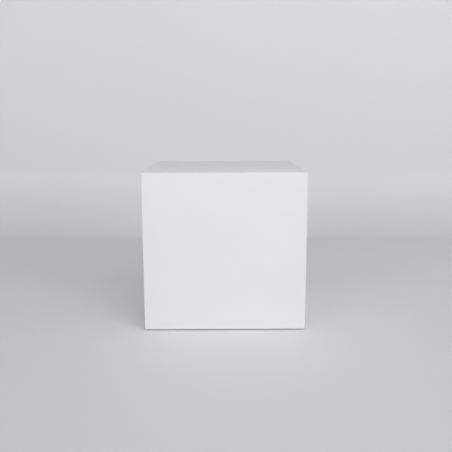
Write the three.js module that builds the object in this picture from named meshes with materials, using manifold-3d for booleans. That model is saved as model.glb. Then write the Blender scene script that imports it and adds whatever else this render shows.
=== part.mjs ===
// Display plinth: a white cube of mitred boards on a recessed base panel with four levelling feet.
// Millimetres, +Z up. The origin is on the floor under the middle of the plinth, and the front faces -Y.
import * as THREE from "three";
import { mergeVertices } from "three/addons/utils/BufferGeometryUtils.js";
import { RoundedBoxGeometry } from "three/addons/geometries/RoundedBoxGeometry.js";
import { ConvexGeometry } from "three/addons/geometries/ConvexGeometry.js";
import Module from "manifold-3d";

const wasm = await Module();
wasm.setup();

// Driving dimensions
const WIDTH = 450; // across the front, and from front to back
const PANEL_HEIGHT = 440;
const FLOOR_GAP = 3; // under the panels, with the feet screwed fully in
const BOARD = 18;
const ARRIS_RADIUS = 2;
const GAP = 0.3; // between pieces that touch
const CUT_BEYOND = 1; // how far a cutting shape runs out past the face that it cuts
const BATTEN = 28; // side of the square softwood battens

// Base panel
const BASE_RECESS = 13.8; // from the panels' lower edges up to the base panel
const LIFTING_SLOT = { length: 110, width: 35, fromCentre: 130 };
const BASE_SCREW = { length: 40, radius: 2, headRadius: 4, rim: 0.4, point: 6, along: 100 };
const RECESS = { span: 4.4, web: 1, depth: 2 }; // the cross in a screw's head
const SCREW_CLEARANCE = 0.3;

// Mitred joints: size 20 biscuits in slots cut by a 100 mm cutter
const MITRE_CLEARANCE = 0.15 * Math.SQRT2; // measured along the board, on each side of the mitre
const CUTTER_RADIUS = 50;
const BISCUIT = { length: 56, halfWidth: 11.5, thickness: 3.8 };
const BISCUIT_SLOT = { length: 64, halfWidth: 12.3, thickness: 4.4 };
const BISCUIT_FROM_HEEL = 7; // from the inner corner, along the mitre
const TOP_BISCUITS_AT = [-110, 110]; // from the middle of the side
const CORNER_BISCUITS_AT = [120, 320]; // above the floor

// Levelling feet, M8 x 1.25
const FOOT_AT = 165; // from the middle, in X and in Y
const THREAD_RADIUS = 4;
const THREAD_CLEARANCE = 0.12;
const STEM_TOP = 47;
const STEM_FOOT = 5.3;
const STEM_CHAMFER = 0.8;
const HEXAGON = { acrossFlats: 13, from: 10.3, to: 14.7 };
const TEE_NUT = { flangeRadius: 11, flange: 1.5, barrelRadius: 5, barrelTop: 28 };
const PRONG = { width: 5, tip: 1.5, height: 8, root: 0.5, thickness: 1.4, fromAxis: 8.8, count: 4 };
const PAD = { from: 2, radius: 15, chamfer: 0.8, shoulder: 8, collarRadius: 7.5, top: 10, socketFloor: 5 };
const DISC = { radius: 13, thickness: 1.7, chamfer: 0.4 };

// Worked out from the driving dimensions
const HALF = WIDTH / 2;
const INSIDE = HALF - BOARD; // from the middle to the boards' inner faces
const TOP = FLOOR_GAP + PANEL_HEIGHT;
const CEILING = TOP - BOARD;
const BASE_FROM = FLOOR_GAP + BASE_RECESS;
const BASE_TO = BASE_FROM + BOARD;
const BATTENS_FROM = BASE_TO + GAP;
const BATTENS_TO = CEILING - GAP;
const BATTEN_OUTER = INSIDE - GAP; // from the middle to the battens' outer faces
const BATTEN_CENTRE = BATTEN_OUTER - BATTEN / 2;
const RAIL_LENGTH = 2 * (BATTEN_OUTER - BATTEN - GAP);

const SHELL_BELOW = 3 * ARRIS_RADIUS; // how far the shell runs down past the floor, out of the way
const MERGE_DISTANCE = 1e-3; // below this, two vertices are one

const SIDES = ["front", "right", "back", "left"]; // each a quarter turn on from the one before
const CORNERS = ["front_right", "back_right", "back_left", "front_left"];
const AXIS_X = new THREE.Vector3(1, 0, 0);
const AXIS_Z = new THREE.Vector3(0, 0, 1);

// Steps and sides of the round shapes
const ARRIS_STEPS = 3;
const ARC_STEPS = 6;
const SLOT_END_STEPS = 8;
const SCREW_SIDES = 12;
const THREAD_SIDES = 20;
const PAD_SIDES = 24;
const HEXAGON_SIDES = 6;

function material(name, color, roughness, metalness = 0) {
  const made = new THREE.MeshStandardMaterial({ color, roughness, metalness });
  made.name = name;
  return made;
}

const PAINTED_MDF = material("painted_mdf", 0xe9e9ec, 0.62);
const RAW_MDF = material("raw_mdf", 0xb99a72, 0.85);
const PINE = material("pine", 0xd9b883, 0.75);
const BEECH = material("beech", 0xc89a6a, 0.8);
const ZINC_STEEL = material("zinc_steel", 0xb9bcc0, 0.35, 1);
const NYLON = material("nylon_black", 0x1b1c1e, 0.5);
const ANTI_SLIP = material("anti_slip", 0x2a2a2c, 0.9);

// Solids, for the cuts and joins

function toSolid(geometry) {
  const bare = geometry.clone();
  bare.deleteAttribute("normal");
  bare.deleteAttribute("uv");
  const merged = mergeVertices(bare, MERGE_DISTANCE);
  return new wasm.Manifold(
    new wasm.Mesh({
      numProp: 3,
      vertProperties: merged.attributes.position.array,
      triVerts: new Uint32Array(merged.index.array),
    }),
  );
}

function toGeometry(solid) {
  const mesh = solid.getMesh();
  const indexed = new THREE.BufferGeometry();
  indexed.setAttribute("position", new THREE.BufferAttribute(mesh.vertProperties, 3));
  indexed.setIndex(new THREE.BufferAttribute(mesh.triVerts, 1));
  const faceted = indexed.toNonIndexed();
  faceted.computeVertexNormals();
  return faceted;
}

function quarterTurn(turns) {
  return new THREE.Matrix4().makeRotationZ((turns * Math.PI) / 2);
}

// A profile of [radius, height] pairs turned about the Z axis.
function turned(profile, sides) {
  const points = profile.map(([radius, height]) => new THREE.Vector2(radius, height));
  return new THREE.LatheGeometry(points, sides).rotateX(Math.PI / 2);
}

// The radius of a polygon's corners that keeps its flats at the given distance from the axis.
function cornerRadius(flatRadius, sides) {
  return flatRadius / Math.cos(Math.PI / sides);
}

function block(sizeX, sizeY, sizeZ, x, y, z) {
  return new THREE.BoxGeometry(sizeX, sizeY, sizeZ).translate(x, y, z);
}

// Biscuits and their slots

// Two arcs of the cutter's radius, back to back, with their meeting points cut square.
function lensShape(length, halfWidth) {
  const fromMiddle = CUTTER_RADIUS - halfWidth;
  const halfAngle = Math.asin(length / 2 / CUTTER_RADIUS);
  const up = Math.PI / 2;
  const shape = new THREE.Shape();
  shape.absarc(0, -fromMiddle, CUTTER_RADIUS, up - halfAngle, up + halfAngle);
  shape.absarc(0, fromMiddle, CUTTER_RADIUS, -up - halfAngle, -up + halfAngle);
  return shape;
}

function lens({ length, halfWidth, thickness }) {
  const options = { depth: thickness, bevelEnabled: false, curveSegments: ARC_STEPS };
  const geometry = new THREE.ExtrudeGeometry(lensShape(length, halfWidth), options);
  return geometry.translate(0, 0, -thickness / 2);
}

// X runs along the joint, Y squarely through the mitre, and Z outwards from the inner corner.
function mitreFrame(along, through, x, y, z) {
  const outwards = new THREE.Vector3().crossVectors(along, through);
  return new THREE.Matrix4().makeBasis(along, through, outwards).setPosition(x, y, z);
}

// Where the biscuits lie in the front panel's top joint, and in the joint at its right.
const HEEL_OFFSET = BISCUIT_FROM_HEEL / Math.SQRT2;
const TOP_FRAMES = TOP_BISCUITS_AT.map((x) => {
  const through = new THREE.Vector3(0, 1, 1).normalize();
  return mitreFrame(AXIS_X, through, x, -INSIDE - HEEL_OFFSET, CEILING + HEEL_OFFSET);
});
const CORNER_FRAMES = CORNER_BISCUITS_AT.map((z) => {
  const through = new THREE.Vector3(-1, -1, 0).normalize();
  return mitreFrame(AXIS_Z, through, INSIDE + HEEL_OFFSET, -INSIDE - HEEL_OFFSET, z);
});

function cutSlots(solid, frames) {
  const slot = toSolid(lens(BISCUIT_SLOT));
  return frames.reduce((left, frame) => left.subtract(slot.transform(frame.elements)), solid);
}

// Panels

// The whole box with its rounded arrises, made too tall downwards so that the foot stays square.
function outerShell() {
  const height = TOP + SHELL_BELOW;
  const shell = new RoundedBoxGeometry(WIDTH, WIDTH, height, ARRIS_STEPS, ARRIS_RADIUS);
  return toSolid(shell.translate(0, 0, TOP - height / 2));
}

// The front panel's share of the shell: a board whose sides and top are mitred.
function frontWedge() {
  const beyond = BOARD;
  const points = [];
  for (const side of [-1, 1]) {
    const inner = INSIDE - MITRE_CLEARANCE;
    const outer = HALF + beyond - MITRE_CLEARANCE;
    for (const z of [FLOOR_GAP, CEILING - MITRE_CLEARANCE])
      points.push(new THREE.Vector3(side * inner, -INSIDE, z));
    for (const z of [FLOOR_GAP, TOP + beyond - MITRE_CLEARANCE])
      points.push(new THREE.Vector3(side * outer, -HALF - beyond, z));
  }
  return toSolid(new ConvexGeometry(points));
}

// The top panel's share of the shell, mitred on all four sides.
function topWedge() {
  const beyond = BOARD;
  const points = [];
  for (const x of [-1, 1])
    for (const y of [-1, 1]) {
      const inner = INSIDE - MITRE_CLEARANCE;
      const outer = HALF + beyond - MITRE_CLEARANCE;
      points.push(new THREE.Vector3(x * inner, y * inner, CEILING));
      points.push(new THREE.Vector3(x * outer, y * outer, TOP + beyond));
    }
  return toSolid(new ConvexGeometry(points));
}

function sidePanel() {
  const leftFrames = CORNER_FRAMES.map((frame) => quarterTurn(-1).multiply(frame));
  const frames = [...TOP_FRAMES, ...CORNER_FRAMES, ...leftFrames];
  return toGeometry(cutSlots(outerShell().intersect(frontWedge()), frames));
}

function topPanel() {
  const frames = SIDES.flatMap((_, k) => TOP_FRAMES.map((frame) => quarterTurn(k).multiply(frame)));
  return toGeometry(cutSlots(outerShell().intersect(topWedge()), frames));
}

// Base panel, its screws and the tee nuts' pockets

// From the head's face at z = 0 up to the point. The margin grows it into the hole that it needs.
function screwProfile(margin) {
  const { length, radius, headRadius, rim, point } = BASE_SCREW;
  const from = margin ? -CUT_BEYOND : 0;
  return [
    [0, from],
    [headRadius + margin, from],
    [headRadius + margin, rim],
    [radius + margin, rim + headRadius - radius],
    [radius + margin, length - point],
    [0, length + margin],
  ];
}

function baseScrew() {
  const { span, web, depth } = RECESS;
  const body = toSolid(turned(screwProfile(0), SCREW_SIDES));
  const across = toSolid(block(span, web, 2 * depth, 0, 0, 0));
  const along = toSolid(block(web, span, 2 * depth, 0, 0, 0));
  return toGeometry(body.subtract(across.add(along)));
}

function cutScrewHoles(solid, places) {
  const hole = toSolid(turned(screwProfile(SCREW_CLEARANCE), SCREW_SIDES));
  return places.reduce((left, [x, y]) => left.subtract(hole.translate([x, y, BASE_FROM])), solid);
}

// Both screws of the front bearer, as [x, y].
const FRONT_SCREWS = [-1, 1].map((side) => [side * BASE_SCREW.along, -BATTEN_CENTRE]);

function turnedPlace([x, y], turns) {
  const place = new THREE.Vector3(x, y, 0).applyMatrix4(quarterTurn(turns));
  return [place.x, place.y];
}

// One pointed prong of a tee nut, standing on the flange. The margin grows it into its pocket.
function prong(margin) {
  const { width, tip, height, root, thickness, fromAxis } = PRONG;
  const foot = width / 2 + margin;
  const point = tip / 2 + margin;
  const below = margin ? CUT_BEYOND : root;
  const shape = new THREE.Shape();
  shape.moveTo(-foot, -below);
  shape.lineTo(foot, -below);
  shape.lineTo(point, height + margin);
  shape.lineTo(-point, height + margin);
  const depth = thickness + 2 * margin;
  const geometry = new THREE.ExtrudeGeometry(shape, { depth, bevelEnabled: false });
  return geometry.rotateX(Math.PI / 2).translate(0, -fromAxis + margin, BASE_FROM - GAP);
}

// The prongs stand crosswise to the panels, so none is near a screw.
function prongSolids(margin) {
  const single = toSolid(prong(margin));
  return Array.from({ length: PRONG.count }, (_, k) =>
    single.rotate([0, 0, (k * 360) / PRONG.count]),
  );
}

function basePanelShape() {
  const half = INSIDE - GAP;
  const shape = new THREE.Shape();
  shape.moveTo(-half, -half);
  shape.lineTo(half, -half);
  shape.lineTo(half, half);
  shape.lineTo(-half, half);
  for (const side of [-1, 1]) {
    const slot = new THREE.Path();
    const radius = LIFTING_SLOT.width / 2;
    const straight = LIFTING_SLOT.length / 2 - radius;
    const x = side * LIFTING_SLOT.fromCentre;
    slot.absarc(x, straight, radius, 0, Math.PI);
    slot.absarc(x, -straight, radius, Math.PI, 2 * Math.PI);
    shape.holes.push(slot);
  }
  return shape;
}

function basePanel() {
  const options = { depth: BOARD, bevelEnabled: false, curveSegments: SLOT_END_STEPS };
  const slab = new THREE.ExtrudeGeometry(basePanelShape(), options).translate(0, 0, BASE_FROM);
  const screws = SIDES.flatMap((_, k) => FRONT_SCREWS.map((place) => turnedPlace(place, k)));
  let board = cutScrewHoles(toSolid(slab), screws);
  const boreRadius = cornerRadius(TEE_NUT.barrelRadius + GAP, THREAD_SIDES);
  const through = new THREE.CylinderGeometry(boreRadius, boreRadius, 2 * BOARD, THREAD_SIDES);
  const bore = toSolid(through.rotateX(Math.PI / 2).translate(0, 0, BASE_FROM + BOARD / 2));
  for (const x of [-FOOT_AT, FOOT_AT])
    for (const y of [-FOOT_AT, FOOT_AT])
      for (const cutter of [bore, ...prongSolids(GAP)])
        board = board.subtract(cutter.translate([x, y, 0]));
  return toGeometry(board);
}

// Battens

function rail() {
  return block(RAIL_LENGTH, BATTEN, BATTEN, 0, -BATTEN_CENTRE, BATTENS_TO - BATTEN / 2);
}

function bearer() {
  const bar = block(RAIL_LENGTH, BATTEN, BATTEN, 0, -BATTEN_CENTRE, BATTENS_FROM + BATTEN / 2);
  return toGeometry(cutScrewHoles(toSolid(bar), FRONT_SCREWS));
}

function post() {
  const height = BATTENS_TO - BATTENS_FROM;
  return block(BATTEN, BATTEN, height, BATTEN_CENTRE, -BATTEN_CENTRE, BATTENS_FROM + height / 2);
}

// Levelling feet, each about its own axis

function teeNut() {
  const bore = cornerRadius(THREAD_RADIUS + THREAD_CLEARANCE, THREAD_SIDES);
  const flangeTop = BASE_FROM - GAP;
  const flangeFoot = flangeTop - TEE_NUT.flange;
  const profile = [
    [bore, flangeFoot],
    [TEE_NUT.flangeRadius, flangeFoot],
    [TEE_NUT.flangeRadius, flangeTop],
    [TEE_NUT.barrelRadius, flangeTop],
    [TEE_NUT.barrelRadius, TEE_NUT.barrelTop],
    [bore, TEE_NUT.barrelTop],
    [bore, flangeFoot],
  ];
  const body = toSolid(turned(profile, THREAD_SIDES));
  return toGeometry(prongSolids(0).reduce((joined, single) => joined.add(single), body));
}

function threadedStem() {
  const profile = [
    [0, STEM_FOOT],
    [THREAD_RADIUS, STEM_FOOT],
    [THREAD_RADIUS, STEM_TOP - STEM_CHAMFER],
    [THREAD_RADIUS - STEM_CHAMFER, STEM_TOP],
    [0, STEM_TOP],
  ];
  const height = HEXAGON.to - HEXAGON.from;
  const radius = cornerRadius(HEXAGON.acrossFlats / 2, HEXAGON_SIDES);
  const hexagon = new THREE.CylinderGeometry(radius, radius, height, HEXAGON_SIDES);
  hexagon.rotateX(Math.PI / 2).translate(0, 0, HEXAGON.from + height / 2);
  return toGeometry(toSolid(turned(profile, THREAD_SIDES)).add(toSolid(hexagon)));
}

function footPad() {
  const socket = cornerRadius(THREAD_RADIUS + GAP, PAD_SIDES);
  const { from, radius, chamfer, shoulder, collarRadius, top, socketFloor } = PAD;
  return turned(
    [
      [0, from],
      [radius - chamfer, from],
      [radius, from + chamfer],
      [radius, from + 3 * chamfer],
      [radius - 2 * chamfer, from + 4 * chamfer],
      [collarRadius, shoulder],
      [collarRadius, top],
      [socket, top],
      [socket, socketFloor],
      [0, socketFloor],
    ],
    PAD_SIDES,
  );
}

function antiSlipDisc() {
  return turned(
    [
      [0, 0],
      [DISC.radius - DISC.chamfer, 0],
      [DISC.radius, DISC.chamfer],
      [DISC.radius, DISC.thickness],
      [0, DISC.thickness],
    ],
    PAD_SIDES,
  );
}

// Assembly

function add(group, name, geometry, finish) {
  const mesh = new THREE.Mesh(geometry, finish);
  mesh.name = name;
  group.add(mesh);
  return mesh;
}

function addBiscuit(group, name, frame) {
  const mesh = add(group, name, lens(BISCUIT), BEECH);
  mesh.position.setFromMatrixPosition(frame);
  mesh.quaternion.setFromRotationMatrix(frame);
}

// One side of the plinth, with the corner at its right, made as the front and turned into place.
function side(name, cornerName, turns, shared) {
  const group = new THREE.Group();
  group.rotation.z = (turns * Math.PI) / 2;
  add(group, `${name}_panel`, shared.panel, PAINTED_MDF);
  add(group, `${name}_top_rail`, shared.rail, PINE);
  add(group, `${name}_bearer`, shared.bearer, PINE);
  add(group, `${cornerName}_post`, shared.post, PINE);
  TOP_FRAMES.forEach((frame, k) => addBiscuit(group, `${name}_top_biscuit_${k + 1}`, frame));
  CORNER_FRAMES.forEach((frame, k) =>
    addBiscuit(group, `${cornerName}_corner_biscuit_${k + 1}`, frame),
  );
  FRONT_SCREWS.forEach(([x, y], k) => {
    const screw = add(group, `${name}_base_screw_${k + 1}`, shared.screw, ZINC_STEEL);
    screw.position.set(x, y, BASE_FROM);
  });
  return group;
}

function foot(cornerName, x, y, shared) {
  const group = new THREE.Group();
  group.position.set(x, y, 0);
  add(group, `${cornerName}_tee_nut`, shared.teeNut, ZINC_STEEL);
  add(group, `${cornerName}_stem`, shared.stem, ZINC_STEEL);
  add(group, `${cornerName}_pad`, shared.pad, NYLON);
  add(group, `${cornerName}_anti_slip_disc`, shared.disc, ANTI_SLIP);
  return group;
}

function plinth() {
  const whole = new THREE.Group();
  add(whole, "top_panel", topPanel(), PAINTED_MDF);
  add(whole, "base_panel", basePanel(), RAW_MDF);
  const box = {
    panel: sidePanel(),
    rail: rail(),
    bearer: bearer(),
    post: post(),
    screw: baseScrew(),
  };
  SIDES.forEach((name, k) => whole.add(side(name, CORNERS[k], k, box)));
  const feet = {
    teeNut: teeNut(),
    stem: threadedStem(),
    pad: footPad(),
    disc: antiSlipDisc(),
  };
  CORNERS.forEach((name, k) => {
    const [x, y] = turnedPlace([FOOT_AT, -FOOT_AT], k);
    whole.add(foot(name, x, y, feet));
  });
  return whole;
}

export default plinth();
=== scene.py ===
"""The looks of a display plinth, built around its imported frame.

Metres, +Z up. The plinth stands on the floor at the origin, and its front faces -Y.
Each piece stands for the CAD node that it replaces, and takes its place and size from it.
"""

import math

import bmesh
import bpy
from mathutils import Matrix, Vector


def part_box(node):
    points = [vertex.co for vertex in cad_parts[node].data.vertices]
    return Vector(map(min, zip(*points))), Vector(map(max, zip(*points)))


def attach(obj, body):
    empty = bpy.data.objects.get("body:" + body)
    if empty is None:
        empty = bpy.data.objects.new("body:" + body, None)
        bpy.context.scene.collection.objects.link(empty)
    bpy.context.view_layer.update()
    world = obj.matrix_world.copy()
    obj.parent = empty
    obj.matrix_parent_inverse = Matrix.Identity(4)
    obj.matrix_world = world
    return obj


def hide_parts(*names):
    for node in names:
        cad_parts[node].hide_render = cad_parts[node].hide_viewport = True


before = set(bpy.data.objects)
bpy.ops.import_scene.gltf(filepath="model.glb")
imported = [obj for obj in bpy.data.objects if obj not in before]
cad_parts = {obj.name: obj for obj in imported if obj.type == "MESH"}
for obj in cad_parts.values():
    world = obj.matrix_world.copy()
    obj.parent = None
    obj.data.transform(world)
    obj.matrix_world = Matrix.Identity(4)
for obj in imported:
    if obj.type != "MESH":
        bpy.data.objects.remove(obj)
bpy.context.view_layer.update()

MM = 0.001
QUARTER = math.pi / 2
SHARP_FROM = math.radians(32)

BODY = "plinth"
SIDES = ("front", "right", "back", "left")  # each a quarter turn on from the one before
CORNERS = ("front_right", "back_right", "back_left", "front_left")


# ---------------------------------------------------------------- sizes


def middle(node):
    """The middle of a CAD node's box."""
    low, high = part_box(node)
    return (low + high) / 2


INSIDE, HALF = (corner.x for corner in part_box("right_panel"))
CEILING, TOP = (corner.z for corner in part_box("top_panel"))
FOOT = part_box("front_panel")[0].z
BASE_LOW, BASE_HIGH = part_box("base_panel")

ARRIS = 2 * MM  # radius of the panels' outer arrises
ARRIS_STEPS = 8  # from a flat face to the mitre
FOOT_ARRIS = 0.7 * MM
FOOT_ARRIS_STEPS = 4
CORE = HALF - ARRIS  # from the middle to where an arris begins
RUBBED = 4 * MM  # how far hands have worn the paint from an arris
SCUFFED = 9 * MM  # how high shoes have marked the panels
OVERSPRAY = 7 * MM  # how far the paint has drifted up the raw board

CUTTER_RADIUS = 50 * MM  # of the blade that cuts the biscuits' slots
LENS_STEPS = 20
BISCUIT = {"length": 56 * MM, "half_width": 11.5 * MM, "thickness": 3.8 * MM, "ease": 0.4 * MM}
BISCUIT_SLOT = {"length": 64 * MM, "half_width": 12.3 * MM, "thickness": 4.4 * MM}

LIFTING_SLOT = {"length": 110 * MM, "width": 35 * MM, "round_over": 3 * MM}
LIFTING_SLOT_X = 130 * MM
SLOT_END_STEPS = 20
ROUND_OVER_STEPS = 6
BOARD_EASE = 0.5 * MM
FIT = 0.15 * MM  # play round what is sunk into a board
BEYOND = MM  # how far a cutter passes what it cuts

BATTEN = 28 * MM
BATTEN_ARRIS = 1.6 * MM
BATTEN_ARRIS_STEPS = 4
BATTEN_END = 0.4 * MM
TIMBER_STEP = 0.61  # from one batten to the next along the timber that they're cut from
RING_CENTRE = (0.055, -0.035)  # the tree's pith, across the timber
RING_WIDTH = 2.7 * MM
PILOT = {"radius": 2.15 * MM, "tip": 0.4 * MM}

SCREW = {"length": 40 * MM, "head": 4 * MM, "rim": 0.4 * MM, "shank": 1.45 * MM, "fillet": 0.8 * MM,
         "point": 6 * MM, "blunt": 0.3 * MM, "tip": 0.12 * MM}
SCREW_THREAD = {"radius": 2 * MM, "depth": 0.75 * MM, "pitch": 1.8 * MM, "from": 12 * MM}
SCREW_TURNS = (0.3, 1.1, 0.72, 0.05, 1.4, 0.9, 0.55, 1.25)  # where each driver stopped
# In millimetres: half length, half width and depth of a wing and a tick, and the hub's radius and depth.
RECESS_WING = ((2.42, 0.55, -0.5), (2.2, 0.5, 0), (1.21, 0.275, 2.0))
RECESS_TICK = ((2.9, 0.14, -0.2), (2.7, 0.06, 0.12))
RECESS_HUB = ((1.15, -0.5), (1.0, 0.3), (0.7, 2.0), (0.1, 2.4))

# How many facets go round each kind of turned body.
TURNED_SIDES = 48
FINE_SIDES = 96
FLATTED_SIDES = 72
SCREW_SIDES = 36
HOLE_SIDES = 32
PILOT_SIDES = 24
HUB_SIDES = 16

THREAD_RADIUS = 4 * MM
THREAD_DEPTH = 0.72 * MM
THREAD_CLEARANCE = 0.12 * MM
PITCH = 1.25 * MM
TEE_NUT = {"flange": 1.5 * MM, "rim": 11 * MM, "barrel": 5 * MM, "fillet": 0.6 * MM,
           "prong_at": 8.8 * MM, "prong_half": 2.6 * MM}
FLAT_END = math.atan(TEE_NUT["prong_half"] / TEE_NUT["prong_at"])  # the angle from a flat's middle
FLAT_CORNER = 0.004  # from a flat's end to the corners on either side of it, in radians
PRONG_TIP = 8.0
# In millimetres: a prong's height over the flange, half width and thickness.
PRONG = ((-1.0, 2.5, 1.4), (4.5, 2.3, 1.4), (7.0, 1.3, 1.2), (PRONG_TIP, 0.5, 0.7))
HEXAGON = {"across_flats": 13 * MM, "from": 10.3 * MM, "to": 14.7 * MM, "chamfer": 30}
HEXAGON_STEPS = (0, 0.1, 0.25, 0.5, 0.75, 1.05)  # outwards over the chamfer in millimetres
PAD = {"rim": 15 * MM, "sole_round": 0.8 * MM, "brim_round": 0.9 * MM, "brim": 2.3 * MM,
       "collar": 7.5 * MM, "fillet": 1.6 * MM, "fillet_at": 7.0 * MM,
       "socket_clearance": 0.3 * MM, "socket_floor": 5 * MM, "flutes": 12, "flute_depth": 0.7 * MM}
PAD_SLOPE = ((2.2, 3.5), (4.6, 4.5))  # inwards from the rim and up from the sole in millimetres
DISC = {"rim": 13 * MM, "middle": 0.8 * MM, "round": 0.4 * MM, "sunk": 0.15 * MM}
# In millimetres: the grooves' radii, and how far a groove goes outwards and up from the sole.
GROOVES = (2.4, 4.8, 7.2, 9.6)
GROOVE = ((-0.55, 0), (-0.4, 0.15), (-0.3, 0.4), (0.3, 0.4), (0.4, 0.15), (0.55, 0))

CAMERA = {"place": (-0.0108, -1.812, 0.579), "yaw": 0.51, "pitch": 10.06, "roll": 0.10,
          "lens": 47.1, "sensor": 36}
SWEEP = {"half_width": 16.0, "front": -4.4, "bend": 1.05, "radius": 0.34, "height": 2.4, "steps": 24}
SURROUND_COLOR = (0.95, 0.945, 1.0)
SURROUND = {"walls": 0.46, "walls_to": 26, "ceiling": 0.165, "ceiling_from": 50}  # heights in degrees
LIGHT_COLOR = (0.985, 0.975, 1.0)
LIGHT_TARGET = (0, 0, 0.3)
NEAR_TARGET = (0.05, -0.5, 0)
FOOT_TARGET = (0.05, -0.3, 0)
WALL_TARGET = (0.2, 1.6, 1.0)
LIGHTS = {
    "right_soft_box": {"place": (4.2, -5.0, 2.6), "size": (4.0, 3.0), "power": 117},
    "left_soft_box": {"place": (-3.6, -5.4, 2.2), "size": (4.0, 3.0), "power": 87},
    "near_soft_box": {"place": (0.3, -1.7, 1.6), "size": (0.8, 0.5), "power": 6.2,
                      "target": NEAR_TARGET},
    "gridded_box": {"place": (0.15, -0.75, 2.0), "size": (0.6, 0.3), "power": 0.105,
                    "target": FOOT_TARGET, "spread": 30},
    "wall_soft_box": {"place": (0.4, -0.8, 2.9), "size": (4.0, 1.0), "power": 19.5,
                      "target": WALL_TARGET},
}


# ---------------------------------------------------------------- mesh helpers


def link(name, mesh):
    """A new object in the scene for a mesh."""
    obj = bpy.data.objects.new(name, mesh)
    bpy.context.scene.collection.objects.link(obj)
    return obj


def to_mesh(name, bm, *materials):
    """Turns a bmesh into a mesh of these materials whose faces point out."""
    bmesh.ops.recalc_face_normals(bm, faces=bm.faces)
    mesh = bpy.data.meshes.new(name)
    bm.to_mesh(mesh)
    bm.free()
    for material in materials:
        mesh.materials.append(material)
    return mesh


def shade(mesh):
    """Smooth shading with sharp edges kept where the surface turns."""
    mesh.shade_smooth()
    mesh.set_sharp_from_angle(angle=SHARP_FROM)


def keep_flats_flat(obj):
    """Lets the broad faces set the normals, so that only the arrises look round."""
    modifier = obj.modifiers.new("Flat broad faces", "WEIGHTED_NORMAL")
    modifier.keep_sharp = True


def bridge(bm, low, high):
    """Quads between two loops of the same length."""
    count = len(low)
    for k in range(count):
        after = (k + 1) % count
        bm.faces.new((low[k], low[after], high[after], high[k]))


def loft(loops):
    """A bmesh through loops of points, with a flat face at each end."""
    bm = bmesh.new()
    rings = [[bm.verts.new(point) for point in loop] for loop in loops]
    for low, high in zip(rings, rings[1:]):
        bridge(bm, low, high)
    bm.faces.new(reversed(rings[0]))
    bm.faces.new(rings[-1])
    return bm


def polar(radius, angle, height):
    """A point from its distance and angle about Z."""
    return (radius * math.cos(angle), radius * math.sin(angle), height)


def even_angles(sides=TURNED_SIDES):
    return [2 * math.pi * k / sides for k in range(sides)]


class Turning:
    """A closed body turned about Z, built up ring by ring."""

    def __init__(self, angles=None):
        self.bm = bmesh.new()
        self.angles = angles or even_angles()
        self.first = []
        self.last = []

    def join(self, loop):
        if self.last:
            bridge(self.bm, self.last, loop)
        else:
            self.first = loop
        self.last = loop

    def ring(self, radius, height):
        """A ring whose radius is a number, or a function of the angle."""
        loop = []
        for angle in self.angles:
            reach = radius(angle) if callable(radius) else radius
            loop.append(self.bm.verts.new(polar(reach, angle, height)))
        self.join(loop)

    def rings(self, profile):
        for radius, height in profile:
            self.ring(radius, height)

    def thread(self, low, high, pitch, shape, ease):
        """A right-hand thread from one height to another.

        The shape is a list of (share of the pitch, radius), and ease(radius, height) runs it out
        at both ends.
        """
        turns = range(math.floor(low / pitch) - 1, math.ceil(high / pitch) + 1)
        ends = [[], []]
        columns = []
        for angle in self.angles:
            for end, height in zip(ends, (low, high)):
                end.append(self.bm.verts.new(polar(ease(shape[0][1], height), angle, height)))
            column = []
            for turn in turns:
                for share, radius in shape:
                    height = pitch * (turn + share + angle / (2 * math.pi))
                    if height <= low:
                        column.append(ends[0][-1])
                    elif height >= high:
                        column.append(ends[1][-1])
                    else:
                        point = polar(ease(radius, height), angle, height)
                        column.append(self.bm.verts.new(point))
            columns.append(column)
        self.join(ends[0])
        top = len(columns[0]) - 1
        for k, column in enumerate(columns):
            after = columns[(k + 1) % len(columns)]
            shift = len(shape) if k + 1 == len(columns) else 0
            for j in range(top):
                low_after = min(j + shift, top)
                high_after = min(j + 1 + shift, top)
                corners = (column[j], after[low_after], after[high_after], column[j + 1])
                apart = list(dict.fromkeys(corners))
                if len(apart) > 2:
                    self.bm.faces.new(apart)
        self.last = ends[1]

    def capped(self):
        """The body, with a flat face at each end."""
        self.bm.faces.new(reversed(self.first))
        self.bm.faces.new(self.last)
        return self.bm

    def closed(self):
        """The body, with its last ring joined to its first."""
        bridge(self.bm, self.last, self.first)
        return self.bm


def arc(centre, radius, start, end, steps):
    """Points of a round edge in a profile, from one angle to another in degrees."""
    points = []
    for k in range(steps + 1):
        angle = math.radians(start + (end - start) * k / steps)
        points.append((centre[0] + radius * math.cos(angle), centre[1] + radius * math.sin(angle)))
    return points


def joined(parts):
    """Several bmeshes in one, each with a matrix."""
    whole = bmesh.new()
    for part, matrix in parts:
        scratch = bpy.data.meshes.new("scratch")
        part.to_mesh(scratch)
        scratch.transform(matrix)
        whole.from_mesh(scratch)
        bpy.data.meshes.remove(scratch)
    return whole


def combine(mesh, tool_bm, material, operation="DIFFERENCE"):
    """Cuts or joins a mesh with a closed tool, whose faces have the material."""
    tool = link("tool", to_mesh("tool", tool_bm, material))
    body = link("body", mesh)
    modifier = body.modifiers.new("Boolean", "BOOLEAN")
    modifier.operation = operation
    modifier.solver = "EXACT"
    modifier.material_mode = "TRANSFER"
    modifier.object = tool
    graph = bpy.context.evaluated_depsgraph_get()
    result = bpy.data.meshes.new_from_object(body.evaluated_get(graph))
    bpy.data.objects.remove(body)
    bpy.data.objects.remove(tool)
    return result


def stand_in(name, mesh, body, node, matrix=None):
    """Makes the piece that stands for a CAD node, and lets it ride on a body."""
    obj = link(name, mesh)
    if matrix:
        obj.matrix_world = matrix
    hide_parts(node)
    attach(obj, body)
    return obj


# ---------------------------------------------------------------- material helpers


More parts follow.
